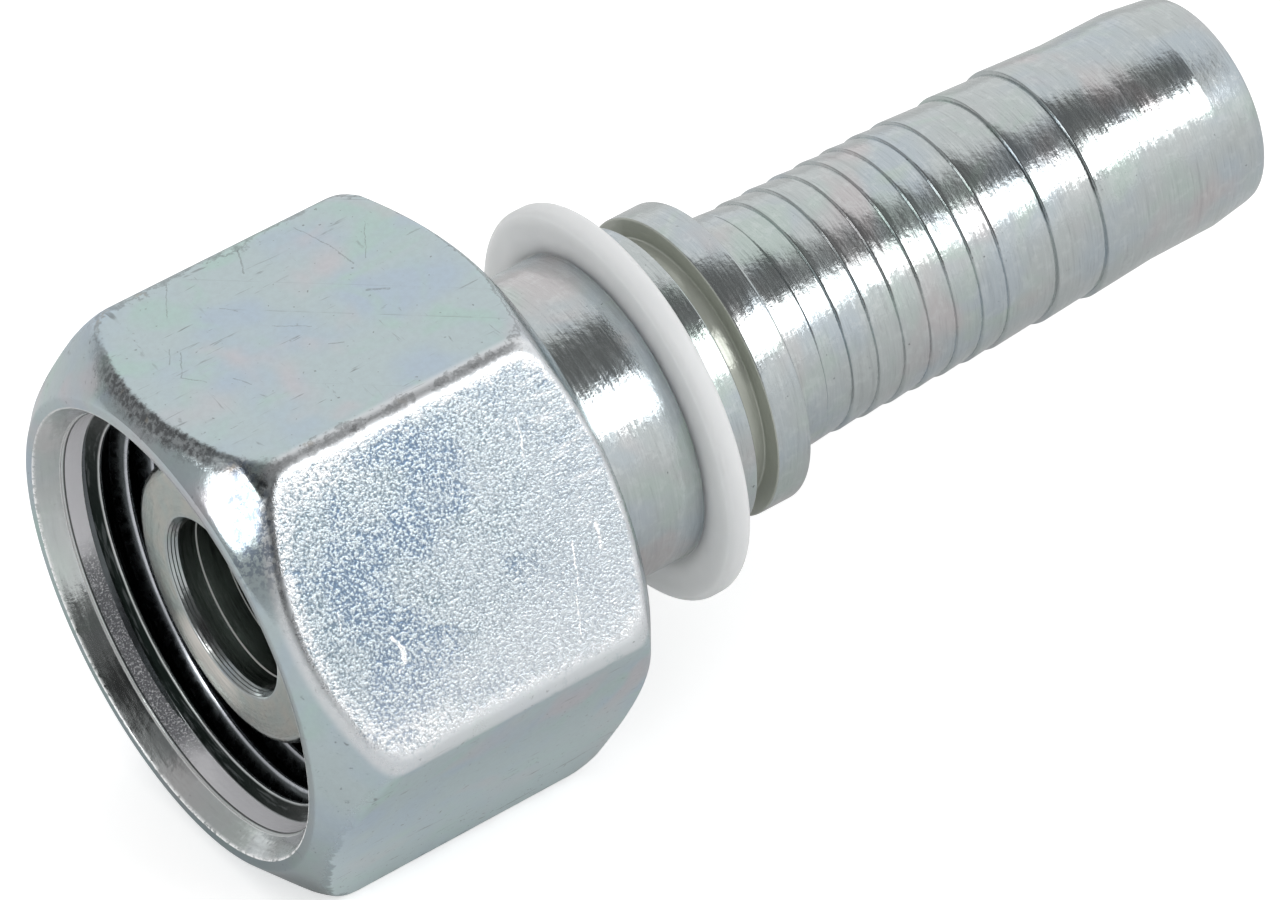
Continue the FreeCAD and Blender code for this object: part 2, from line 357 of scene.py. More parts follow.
def falling(tree, value, low, high, level=1.0):
    return spread(tree, value, low, high, level, 0.0)


def shifted(tree, value, noise, amount):
    return sumOf(tree, "MULTIPLY_ADD", noise, amount, value)


def aroundAxis(tree, y, z):
    flat = joined(tree, 0.0, y, z)
    return vectorSum(tree, "LENGTH", flat), flat


def stretched(tree, place, x, y, z):
    node = tree.nodes.new("ShaderNodeMapping")
    put(tree, node.inputs["Vector"], place)
    node.inputs["Scale"].default_value = (x, y, z)
    return node.outputs[0]


def cloud(tree, place, scale, detail=3.0, roughness=0.5, warp=0.0):
    node = tree.nodes.new("ShaderNodeTexNoise")
    put(tree, node.inputs["Vector"], place)
    for name, value in (("Scale", scale), ("Detail", detail), ("Roughness", roughness), ("Distortion", warp)):
        node.inputs[name].default_value = value
    return node.outputs["Fac"]


def blended(tree, amount, first, second):
    node = tree.nodes.new("ShaderNodeMix")
    node.data_type = "RGBA"
    put(tree, node.inputs["Factor"], amount)
    put(tree, node.inputs[6], (*first, 1.0) if isinstance(first, tuple) else first)
    put(tree, node.inputs[7], (*second, 1.0) if isinstance(second, tuple) else second)
    return node.outputs[2]


def relief(tree, height, distance, strength=1.0, under=None):
    node = tree.nodes.new("ShaderNodeBump")
    put(tree, node.inputs["Height"], height)
    put(tree, node.inputs["Distance"], distance)
    put(tree, node.inputs["Strength"], strength)
    put(tree, node.inputs["Normal"], under)
    return node.outputs[0]


def zincTint(tree, place, s):
    greenPlace = stretched(tree, place, 1, 1.3, 1.1)
    pinkPlace = stretched(tree, place, 1.2, 1, 0.9)
    tone = blended(tree, spread(tree, cloud(tree, place, 210, 2), 0.42, 0.66), s["plain"], s["blue"])
    tone = blended(tree, spread(tree, cloud(tree, greenPlace, 260, 2, 0.5, 0.6), 0.5, 0.7), tone, s["green"])
    return blended(tree, spread(tree, cloud(tree, pinkPlace, 190, 2, 0.5, 0.4), 0.52, 0.72), tone, s["pink"])


nutFinish = {
    "plain": (0.575, 0.67, 0.69), "blue": (0.54, 0.64, 0.73),
    "green": (0.54, 0.69, 0.66), "pink": (0.66, 0.65, 0.68),
    "scratch": (0.17, 0.18, 0.18), "band": (0.13, 0.135, 0.14), "bandLight": (0.34, 0.36, 0.37),
    "rust": (0.36, 0.28, 0.18), "pit": (0.16, 0.23, 0.28), "peak": (0.63, 0.70, 0.74),
    # clean paints light on the lower flats, and dull below paints shade on the lower cone
    "bluePit": (0.14, 0.22, 0.34), "sheen": (0.56, 0.61, 0.65), "clean": (0.80, 0.90, 0.91),
    # lip on this line is both a pale edge mark and painted light on the grainy flats
    "dull": (0.29, 0.355, 0.37), "fleck": (0.20, 0.25, 0.33), "lip": (0.86, 0.88, 0.90),
    "bright": (0.97, 0.98, 0.98),
    "grainScale": 7200, "grainHeight": 0.026, "peelHeight": 0.007, "tornHeight": 0.05,
    "dome": 55, "domeRadius": 0.01372, "halfSide": 0.0078, "cornerSpot": (-0.0018, -0.0070, 0.0120),
    # marks on the upper flat, as start and end in mm along the axis and to its left, and width
    "upperMarks": [
        (10.6, 0.3, 11.4, -0.3, 0.12), (10.6, 6.8, 11.1, 4.6, 0.035), (11.1, 4.6, 11.25, 2.4, 0.04),
        (13.4, 4.8, 11.9, 2.4, 0.028), (3.7, 7.2, 2.3, 5.0, 0.032), (5.7, 1.1, 7.1, -0.2, 0.036),
        (1.1, 2.9, 0.5, 1.9, 0.04), (1.4, 2.3, 0.4, 0.7, 0.04), (0.4, 0.7, 1.1, -0.4, 0.035),
        (7.6, 6.9, 6.9, 5.4, 0.06), (2.2, -1.0, 2.6, -1.9, 0.04), (7.0, -1.8, 7.6, -2.2, 0.05),
        (4.6, 3.9, 5.1, 3.1, 0.04),
    ],
    # the same on the grainy side flat, with the second number down from its middle
    "sideMarks": [
        (12.1, -4.6, 12.0, -3.7, 0.06), (12.0, -3.7, 11.7, -2.8, 0.07), (2.15, 1.9, 2.45, 2.5, 0.13),
        (2.45, 2.5, 2.3, 3.1, 0.20), (2.3, 3.1, 1.9, 3.4, 0.13), (13.85, 1.6, 13.6, 2.9, 0.12),
        (12.4, 1.8, 11.8, 3.9, 0.05), (11.5, 4.3, 11.0, 5.9, 0.05), (0.2, -0.4, -0.1, 0.5, 0.04),
    ],
}


def outward(tree, place, angle):
    turn = math.radians(angle)
    return vectorSum(tree, "DOT_PRODUCT", place, (0.0, -math.sin(turn), math.cos(turn)))


def strokes(tree, x, side, marks):
    flat = joined(tree, x, side, 0.0)
    drawn = 0.0
    for x0, side0, x1, side1, width in marks:
        start, run = Vector((x0, side0, 0)) * mm, Vector((x1 - x0, side1 - side0, 0)) * mm
        away = vectorSum(tree, "SUBTRACT", flat, tuple(start))
        along = vectorSum(tree, "DOT_PRODUCT", away, tuple(run / run.length_squared))
        along = sumOf(tree, "ADD", along, 0.0, clamp=True)
        foot = vectorSum(tree, "MULTIPLY", joined(tree, along, along, along), tuple(run))
        gap = vectorSum(tree, "DISTANCE", away, foot)
        drawn = largest(tree, drawn, falling(tree, gap, 0.4 * width * mm, width * mm))
    return drawn


def nutPatterns(tree, place, s):
    x, y, z = parted(tree, place)
    scallop = tree.nodes.new("ShaderNodeAttribute")
    scallop.attribute_name = "scallop"
    margin = scallop.outputs["Fac"]
    ragged = sumOf(tree, "SUBTRACT", cloud(tree, place, 2300, 4, 0.7), 0.5)
    wavy = sumOf(tree, "SUBTRACT", cloud(tree, place, 500, 3, 0.6), 0.5)
    fuzzy = plus(tree, margin, plus(tree, ragged, wavy))
    onFlat = spread(tree, fuzzy, -0.12, 0.12)
    return SimpleNamespace(
        place=place, x=x, y=y, z=z, margin=margin, ragged=ragged, wavy=wavy, fuzzy=fuzzy,
        onFlat=onFlat, offFlat=oneMinus(tree, onFlat), front=falling(tree, x, 0.002, 0.005),
        side=outward(tree, place, 60), down=outward(tree, place, 150),
        grain=cloud(tree, place, s["grainScale"], 2.5, 0.62))


def grainyFlats(tree, s, p):
    grainy = 0.0
    onSide = 0.0
    for angle in (60, 240):
        out = outward(tree, p.place, angle)
        across = sumOf(tree, "ABSOLUTE", outward(tree, p.place, angle + 90))
        edge = plus(tree, sumOf(tree, "SUBTRACT", s["halfSide"], across), times(tree, p.ragged, 0.0004))
        here = times(tree, spread(tree, out, 0.01325, 0.01340), spread(tree, edge, 0.0003, 0.0007))
        grainy = largest(tree, grainy, here)
        onSide = largest(tree, onSide, spread(tree, out, 0.0128, 0.0132))
    return times(tree, grainy, p.onFlat), onSide


def grainTone(tree, s, p):
    tone = blended(tree, spread(tree, p.grain, 0.36, 0.60), s["pit"], s["peak"])
    faded = plus(tree, times(tree, p.x, 45.0), times(tree, p.down, 35.0), times(tree, p.wavy, 1.1))
    tone = blended(tree, spread(tree, faded, -0.05, 0.75, 0.12, 0.72), tone, s["sheen"])
    patchy = times(tree, spread(tree, cloud(tree, p.place, 210, 3, 0.6), 0.46, 0.60),
                   falling(tree, p.grain, 0.40, 0.58), spread(tree, faded, 0.1, 0.6, 0.85, 0.15))
    tone = blended(tree, patchy, tone, s["bluePit"])
    # painted light: the grainy flats lighter towards their lower edge
    return blended(tree, spread(tree, p.down, 0.001, 0.007, 0.0, 0.30), tone, s["lip"])


# the white edges of the grainy flats, with a painted highlight along their upper edge, and the tool marks at
# their rear
def paleEdges(tree, s, p, onSide, tone):
    worn = plus(tree, p.margin, times(tree, p.ragged, 0.6))
    mottled = spread(tree, cloud(tree, p.place, 3600, 3, 0.6), 0.42, 0.54, 0.15, 1.0)
    band = times(tree, falling(tree, worn, 0.50, 1.05, 0.85), p.front, mottled)
    # painted highlight: a pale band along the upper edge of the side flats
    upperEdge = plus(tree, p.down, s["halfSide"], times(tree, p.ragged, 0.0008))
    band = largest(tree, band, falling(tree, upperEdge, 0.0003, 0.0006, 0.95),
                   falling(tree, p.fuzzy, 0.1, 0.45, 0.75))
    tone = blended(tree, times(tree, band, onSide), tone, s["lip"])
    tooled = cloud(tree, stretched(tree, p.place, 0.10, 1.0, 1.0), 5600, 2, 0.6)
    tooled = times(tree, spread(tree, tooled, 0.50, 0.62), spread(tree, p.x, 0.0122, 0.0136),
                   spread(tree, p.down, -0.002, 0.002, 0.40, 0.12), onSide)
    return blended(tree, tooled, tone, s["lip"])


def scratched(tree, s, p, grainy, tone):
    long = cloud(tree, stretched(tree, p.place, 0.10, 1.0, 1.0), 3600, 3, 0.6, 0.4)
    short = cloud(tree, stretched(tree, p.place, 0.9, 0.12, 1.0), 3300, 3, 0.6, 0.8)
    turned = vectorSum(tree, "ADD", p.place, joined(tree, p.y, p.x, p.z))
    slant = cloud(tree, vectorSum(tree, "MULTIPLY", turned, (0.10, 1.0, 1.0)), 2600, 3, 0.6, 0.5)
    scratch = largest(tree, spread(tree, long, 0.64, 0.72), spread(tree, short, 0.66, 0.74),
                      spread(tree, slant, 0.66, 0.74))
    scratch = times(tree, scratch, spread(tree, cloud(tree, p.place, 520, 2), 0.38, 0.60))
    speck = spread(tree, cloud(tree, p.place, 3400, 2, 0.6), 0.69, 0.76)
    marks = times(tree, largest(tree, scratch, speck), oneMinus(tree, grainy))
    drawn = strokes(tree, shifted(tree, p.x, p.ragged, 0.0003), shifted(tree, p.y, p.wavy, 0.0006),
                    s["upperMarks"])
    drawn = times(tree, drawn, spread(tree, p.z, 0.0131, 0.0133),
                  spread(tree, p.ragged, -0.16, 0.02, 0.25, 1.0))
    tone = blended(tree, times(tree, largest(tree, marks, times(tree, drawn, 0.7)), 0.6), tone, s["scratch"])
    nicks = strokes(tree, shifted(tree, p.x, p.ragged, 0.0004), shifted(tree, p.down, p.wavy, 0.0006),
                    s["sideMarks"])
    nicks = times(tree, nicks, spread(tree, p.side, 0.0131, 0.0133),
                  spread(tree, p.ragged, -0.10, 0.04, 0.15, 1.0))
    return blended(tree, nicks, tone, s["bright"])


# the torn, stained front edge of the upper flat, and the dark line along its sides
def tornEdge(tree, s, p, tone):
    upper = falling(tree, sumOf(tree, "ABSOLUTE", plus(tree, p.y, 0.0006)), 0.0035, 0.0078)
    upper = times(tree, upper, p.front, spread(tree, p.z, 0.009, 0.0115))
    torn = plus(tree, p.margin, times(tree, p.ragged, 0.9))
    torn = times(tree, spread(tree, torn, -0.95, -0.45), falling(tree, torn, 0.0, 0.25), upper)
    rim = sumOf(tree, "SUBTRACT", 0.00778, sumOf(tree, "ABSOLUTE", p.y))
    rim = plus(tree, rim, times(tree, p.ragged, 0.0002))
    line = times(tree, falling(tree, offBy(tree, rim, 0.00011), 0.00003, 0.00009),
                 spread(tree, p.z, 0.01315, 0.01330),
                 spread(tree, cloud(tree, p.place, 1400, 3, 0.6), 0.40, 0.58, 0.35, 1.0))
    hem = times(tree, falling(tree, sumOf(tree, "ABSOLUTE", p.fuzzy), 0.02, 0.14),
                spread(tree, p.z, 0.0128, 0.0131))
    dark = largest(tree, torn, times(tree, largest(tree, line, hem), 0.5))
    mottled = spread(tree, cloud(tree, p.place, 3600, 3, 0.7), 0.42, 0.62)
    stain = blended(tree, mottled, s["band"], s["bandLight"])
    stain = blended(tree, spread(tree, cloud(tree, p.place, 900, 3), 0.58, 0.75), stain, s["rust"])
    return blended(tree, times(tree, dark, 0.95), tone, stain), torn


def cornerFlecks(tree, s, p, tone):
    under = times(tree, spread(tree, p.side, 0.0114, 0.0121), falling(tree, p.x, -0.001, 0.0),
                  falling(tree, p.down, -0.0045, -0.0015))
    spot = shifted(tree, vectorSum(tree, "DISTANCE", p.place, s["cornerSpot"]), p.ragged, 0.0012)
    spot = falling(tree, spot, 0.0003, 0.0007, 0.9)
    flecks = times(tree, largest(tree, spot, times(tree, under, 0.8)),
                   spread(tree, cloud(tree, p.place, 2400, 4, 0.75), 0.46, 0.56))
    return blended(tree, times(tree, flecks, p.offFlat), tone, s["fleck"])


def nutMaterial(s):
    material, tree, shader, place = newFinish("zincOnForgedSteel")
    p = nutPatterns(tree, place, s)
    grainy, onSide = grainyFlats(tree, s, p)
    tone = zincTint(tree, place, s)
    pale = spread(tree, cloud(tree, place, 2600, 4, 0.7), 0.35, 0.65, 0.0, 0.10)
    tone = blended(tree, pale, tone, s["bandLight"])
    # painted light and shade lower down: the lower flats painted lighter, the lower cone painted darker
    lowDown = falling(tree, p.z, -0.010, -0.002)
    tone = blended(tree, times(tree, lowDown, 0.6), tone, blended(tree, p.onFlat, s["dull"], s["clean"]))
    tone = blended(tree, grainy, tone, grainTone(tree, s, p))
    tone = paleEdges(tree, s, p, onSide, tone)
    tone = scratched(tree, s, p, grainy, tone)
    tone, torn = tornEdge(tree, s, p, tone)
    put(tree, shader.inputs["Base Color"], cornerFlecks(tree, s, p, tone))
    shader.inputs["Metallic"].default_value = 1.0

    rough = tree.nodes.new("ShaderNodeMix")
    put(tree, rough.inputs[0], grainy)
    put(tree, rough.inputs[2], spread(tree, p.fuzzy, -0.5, 0.0, 0.12, 0.42))
    put(tree, rough.inputs[3], 0.24)
    put(tree, shader.inputs["Roughness"], largest(tree, rough.outputs[0], times(tree, torn, 0.5)))
    radius = aroundAxis(tree, p.y, p.z)[0]
    bulge = sumOf(tree, "SUBTRACT", radius, s["domeRadius"])
    bump = relief(tree, times(tree, times(tree, bulge, bulge), -s["dome"]), 1.0, p.offFlat)
    bump = relief(tree, cloud(tree, place, 1300, 4, 0.6), s["peelHeight"] * mm,
                  spread(tree, p.fuzzy, -0.3, 0.0, 1.0, 0.5), bump)
    bump = relief(tree, p.grain, s["grainHeight"] * mm, grainy, bump)
    bump = relief(tree, cloud(tree, place, 4200, 3, 0.7), s["tornHeight"] * mm, torn, bump)
    put(tree, shader.inputs["Normal"], bump)
    return material


turnedFinish = {
    "plain": (0.55, 0.59, 0.59), "blue": (0.52, 0.58, 0.62),
    "green": (0.53, 0.61, 0.58), "pink": (0.59, 0.57, 0.575),
    "speck": (0.14, 0.15, 0.15), "lineDark": (0.30, 0.32, 0.32), "lineLight": (0.80, 0.84, 0.84),
    "bore": (0.30, 0.33, 0.31), "face": (0.52, 0.57, 0.54), "faceWarm": (0.60, 0.59, 0.54),
    # the first colour on this line is a painted highlight on the nose face
    "faceShine": (0.98, 0.93, 0.87), "grooveTone": (0.44, 0.46, 0.41), "litLine": (0.70, 0.72, 0.70),
    "line": 0.0026, "wave": 0.0012, "mottle": 0.014, "lean": 0.19, "dapple": 0.10, "tip": 0.25,
    # the direction round the axis where the nose face's painted highlight lies
    "shineTowards": (0.0, 0.42, -0.91),
    # painted highlight lines in the bore, as depth and half width in metres
    "boreLines": ((0.00158, 0.00006), (0.0029, 0.00005), (0.0046, 0.00007), (0.0050, 0.00005)),
}


def centred(tree, noise, amount):
    return sumOf(tree, "MULTIPLY_ADD", noise, amount, -0.5 * amount)


# turning lines run round the axis, and each leans the light a little
def turnedLook(tree, shader, place, s):
    x, y, z = parted(tree, place)
    radius = aroundAxis(tree, y, z)[0]
    ringed = stretched(tree, joined(tree, shifted(tree, x, radius, 0.8), y, z), 1.0, 0.05, 0.05)
    fine = cloud(tree, ringed, 11000, 3, 0.65)
    coarse = cloud(tree, ringed, 2600, 2, 0.5)
    speck = spread(tree, cloud(tree, place, 3300, 2, 0.6), 0.73, 0.79)
    tone = blended(tree, times(tree, speck, 0.8), zincTint(tree, place, s), s["speck"])
    tone = blended(tree, spread(tree, coarse, 0.60, 0.70, 0.0, 0.12), tone, s["speck"])
    tone = blended(tree, spread(tree, fine, 0.54, 0.70, 0.0, 0.24), tone, s["lineDark"])
    tone = blended(tree, falling(tree, fine, 0.32, 0.46, 0.18), tone, s["lineLight"])
    clouded = cloud(tree, place, 1500, 4, 0.7)
    tone = blended(tree, spread(tree, clouded, 0.50, 0.66, 0.0, 0.22), tone, s["lineLight"])
    shader.inputs["Metallic"].default_value = 1.0
    put(tree, shader.inputs["Roughness"], spread(tree, fine, 0.3, 0.7, 0.13, 0.27))
    leaning = centred(tree, cloud(tree, ringed, 7500, 2, 0.7), s["lean"])
    dapple = centred(tree, cloud(tree, place, 4200, 3, 0.7), s["dapple"])
    leaning = sumOf(tree, "DIVIDE", plus(tree, leaning, dapple), radius)
    around = joined(tree, 0.0, times(tree, z, leaning, -1.0), times(tree, y, leaning))
    plain = tree.nodes.new("ShaderNodeNewGeometry").outputs["Normal"]
    leaned = vectorSum(tree, "NORMALIZE", vectorSum(tree, "ADD", plain, around))
    lines = relief(tree, fine, s["line"] * mm, 1.0, leaned)
    lines = relief(tree, coarse, s["wave"] * mm, 1.0, lines)
    return tone, relief(tree, cloud(tree, place, 2600, 3, 0.6), s["mottle"] * mm, 1.0, lines)


def insertMaterial(s):
    material, tree, shader, place = newFinish("zincOnTurnedSteel")
    x, y, z = parted(tree, place)
    radius, flat = aroundAxis(tree, y, z)
    tone, bump = turnedLook(tree, shader, place, s)

    # the dull flat face of the nose, with a painted highlight: a wedge of shine painted into its colour,
    # which also tips the light
    face = times(tree, falling(tree, x, 0.0003, 0.0008), spread(tree, radius, 0.0048, 0.0050))
    dull = blended(tree, spread(tree, cloud(tree, place, 900, 3), 0.35, 0.7), s["face"], s["faceWarm"])
    rings = cloud(tree, joined(tree, times(tree, radius, 30.0), y, z), 260, 2, 0.6)
    wedge = vectorSum(tree, "DOT_PRODUCT", vectorSum(tree, "NORMALIZE", flat), s["shineTowards"])
    paintedShine = times(tree, spread(tree, wedge, 0.84, 0.98), spread(tree, rings, 0.40, 0.60, 0.6, 1.0),
                  spread(tree, radius, 0.0050, 0.0068, 1.0, 0.35))
    tone = blended(tree, face, tone, blended(tree, paintedShine, dull, s["faceShine"]))
    tip = sumOf(tree, "DIVIDE", times(tree, paintedShine, face, -s["tip"]), radius)
    tipped = vectorSum(tree, "ADD", bump, joined(tree, 0.0, times(tree, y, tip), times(tree, z, tip)))
    put(tree, shader.inputs["Normal"], vectorSum(tree, "NORMALIZE", tipped))

    # the bore with bright lines painted in as highlights, and the dull lock groove
    inside = times(tree, falling(tree, radius, 0.00475, 0.00485), spread(tree, x, 0.0005, 0.0008))
    lit = 0.0
    for depth, width in s["boreLines"]:
        lit = largest(tree, lit, falling(tree, offBy(tree, x, depth), width * 0.4, width))
    lit = times(tree, lit, inside)
    tone = blended(tree, inside, tone, blended(tree, lit, s["bore"], s["litLine"]))
    groove = times(tree, spread(tree, x, 0.02558, 0.02568), falling(tree, x, 0.02697, 0.02706))
    put(tree, shader.inputs["Base Color"], blended(tree, groove, tone, s["grooveTone"]))
    soft = largest(tree, times(tree, groove, 0.6), times(tree, lit, 0.8))
    put(tree, shader.inputs["Metallic"], oneMinus(tree, soft))
    return material


mouthFinish = {
    "chamfer": (0.90, 0.93, 0.92), "counterbore": (0.92, 0.92, 0.95), "smooth": (0.96, 0.95, 0.99),
    "leadIn": (0.012, 0.018, 0.016), "pit": (0.15, 0.15, 0.17), "leadInLine": (0.075, 0.085, 0.085),
    # the crest colour on this line is a painted highlight along the thread's crest
    "flank": (0.12, 0.135, 0.14), "flankLight": (0.17, 0.185, 0.20), "crest": (0.72, 0.75, 0.80),
    # rimEdge is both the worn rim and a painted highlight on the step
    "rimEdge": (0.97, 0.98, 0.98), "speckledTowards": (0.0, 0.72, -0.69), "rimRadius": 0.01206,
    "stepAt": -0.00184, "edgeAt": -0.00170, "wander": 0.00005,
}


def mouthMaterial(s, t):
    material, tree, shader, place = newFinish("zincInMouth")
    x, y, z = parted(tree, place)
    radius, flat = aroundAxis(tree, y, z)
    tone, bump = turnedLook(tree, shader, place, t)
    tone = blended(tree, 0.38, tone, s["chamfer"])

    # the counterbore, speckled on one side
    band = times(tree, spread(tree, x, -0.00176, -0.00168), falling(tree, x, -0.00066, -0.00060))
    speckles = spread(tree, cloud(tree, place, 10000, 3, 0.7), 0.50, 0.66)
    aside = vectorSum(tree, "DOT_PRODUCT", vectorSum(tree, "NORMALIZE", flat), s["speckledTowards"])
    aside = shifted(tree, aside, cloud(tree, place, 900, 3, 0.6), 0.10)
    speckled = blended(tree, spread(tree, aside, 0.86, 0.99), s["smooth"],
                       blended(tree, speckles, s["pit"], s["counterbore"]))
    tone = blended(tree, times(tree, band, 0.9), tone, speckled)

    # the worn outer rim, and the bright step at the counterbore's edge, a line painted as a highlight
    rim = falling(tree, offBy(tree, radius, s["rimRadius"]), 0.00014, 0.00028)
    rim = times(tree, rim, spread(tree, cloud(tree, place, 3600, 3, 0.7), 0.40, 0.52),
                falling(tree, x, -0.0028, -0.0026), spread(tree, z, 0.001, 0.006, 1.0, 0.35))
    rim = largest(tree, rim, falling(tree, offBy(tree, x, s["stepAt"]), 0.00003, 0.00007, 0.9))
    tone = blended(tree, rim, tone, s["rimEdge"])
    lower = spread(tree, z, -0.0055, -0.0015, 0.75, 0.95)
    soft = largest(tree, times(tree, band, lower), times(tree, rim, 0.85))
    put(tree, shader.inputs["Metallic"], oneMinus(tree, soft))

    # the dark lead-in before the thread's first crest
    wander = centred(tree, cloud(tree, place, 700, 2, 0.5), s["wander"])
    crest = falling(tree, plus(tree, radius, wander), 0.01031, 0.01042)
    beyond = times(tree, spread(tree, x, -0.00064, -0.00058), oneMinus(tree, crest))
    scored = cloud(tree, stretched(tree, place, 1, 0.06, 0.06), 9000, 2, 0.6)
    shaded = blended(tree, spread(tree, scored, 0.52, 0.66), s["leadIn"], s["leadInLine"])
    tone = blended(tree, falling(tree, offBy(tree, x, s["edgeAt"]), 0.00002, 0.00006, 0.9), tone, s["leadIn"])
    put(tree, shader.inputs["Base Color"], blended(tree, beyond, tone, shaded))
    put(tree, shader.inputs["Normal"], bump)
    return material


def threadMaterial(s):
    material, tree, shader, place = newFinish("zincInThread")
    _, y, z = parted(tree, place)
    radius = aroundAxis(tree, y, z)[0]
    wander = centred(tree, cloud(tree, place, 700, 2, 0.5), s["wander"])
    # painted highlight: the crest painted bright along the thread, against the darker flanks
    crest = falling(tree, plus(tree, radius, wander), 0.01025, 0.01036)
    drawn = cloud(tree, stretched(tree, place, 1, 0.1, 0.1), 2400, 2)
    flank = blended(tree, spread(tree, drawn, 0.40, 0.75), s["flank"], s["flankLight"])
    put(tree, shader.inputs["Base Color"], blended(tree, crest, flank, s["crest"]))
    shader.inputs["Metallic"].default_value = 1.0
    put(tree, shader.inputs["Roughness"], spread(tree, cloud(tree, place, 2200, 3), 0.3, 0.7, 0.18, 0.32))
    along = stretched(tree, place, 1, 0.05, 0.05)
    put(tree, shader.inputs["Normal"], relief(tree, cloud(tree, along, 5000, 2, 0.5), 0.0015 * mm))
    return material


nylonFinish = {
    # inner, outer and rim grade from painted light near the bore to painted shade at the outer edge and rim
    "inner": (0.95, 0.955, 0.96), "outer": (0.64, 0.65, 0.655), "rim": (0.55, 0.56, 0.565),
    "speck": (0.25, 0.25, 0.25), "scatter": (0.0060, 0.0060, 0.0058), "unevenness": 0.012,
}


def nylonMaterial(s):
    material, tree, shader, place = newFinish("whiteNylon")
    _, y, z = parted(tree, place)
    radius = aroundAxis(tree, y, z)[0]
    # painted light and shade by radius: pale near the neck, darker towards the outer edge, darkest on the rim
    paintedLightAndShadeRadius = shifted(tree, radius, cloud(tree, place, 320, 3), 0.0006)
    tone = blended(tree, spread(tree, paintedLightAndShadeRadius, 0.0088, 0.0102), s["inner"], s["outer"])
    tone = blended(tree, spread(tree, radius, 0.01025, 0.0105), tone, s["rim"])
    speck = spread(tree, cloud(tree, place, 2600, 2, 0.6), 0.75, 0.80)
    put(tree, shader.inputs["Base Color"], blended(tree, times(tree, speck, 0.6), tone, s["speck"]))
    put(tree, shader.inputs["Roughness"], spread(tree, cloud(tree, place, 900, 3), 0.3, 0.7, 0.42, 0.55))
    shader.inputs["Subsurface Weight"].default_value = 1.0
    shader.inputs["Subsurface Radius"].default_value = s["scatter"]
    shader.inputs["Subsurface Scale"].default_value = 1.0
    put(tree, shader.inputs["Normal"], relief(tree, cloud(tree, place, 1100, 4, 0.6), s["unevenness"] * mm))
    return material


zincNut = nutMaterial(nutFinish)
zincTurned = insertMaterial(turnedFinish)
zincMouth = mouthMaterial(mouthFinish, turnedFinish)
zincThread = threadMaterial(mouthFinish)
whiteNylon = nylonMaterial(nylonFinish)
print("finishes made")


# the hose insert, turned from one bar

insertSizes = {
    "segments": 192, "noseRadius": 7.3, "noseRound": 0.7, "flankEnd": 7.0, "flankRadius": 8.79,
    "headStart": 7.7, "headRadius": 9.6, "headEnd": 8.85, "shoulderEnd": 10.25,
    "neckRadius": 8.2, "neckEnd": 25.65, "grooveRadius": 7.0, "collarStart": 26.95, "collarRadius": 8.08,
    "collarEnd": 28.95, "tailRadius": 6.28,
    "barbStart": 31.25, "barbPitch": 1.59, "barbDepth": 0.14, "barbs": 7,
    "crestRound": ((0.005, 0.055), (0.025, 0.028), (0.055, 0.010), (0.10, 0.0)),
    "wideStart": 42.38, "widePitch": 3.07, "wideDepth": 0.2, "wideBarbs": 2, "boreLimit": 5.5,
    "taperEnd": 52.42, "landRadius": 6.04, "landEnd": 56.32, "tipStart": 58.32, "tipRadius": 5.75,
    "end": 58.97, "tipRound": 0.65, "boreAtNose": 4.57, "boreAtTail": 4.7, "boreStep": 12.0, "chamfer": 0.25,
    # tool lines in the mouth of the bore: place, rise over the bore's radius, rounding
    "boreLines": ((6.0, 0), (5.95, -0.03), (1.65, -0.03), (1.55, 0), (0.55, 0, 0.02), (0.44, 0.07, 0.02),
                  (0.38, 0.05, 0.02), (0.27, 0.13, 0.02), (0.21, 0.10, 0.02), (0.10, 0.20, 0.02),
                  (0.06, 0.17, 0.02)),
}


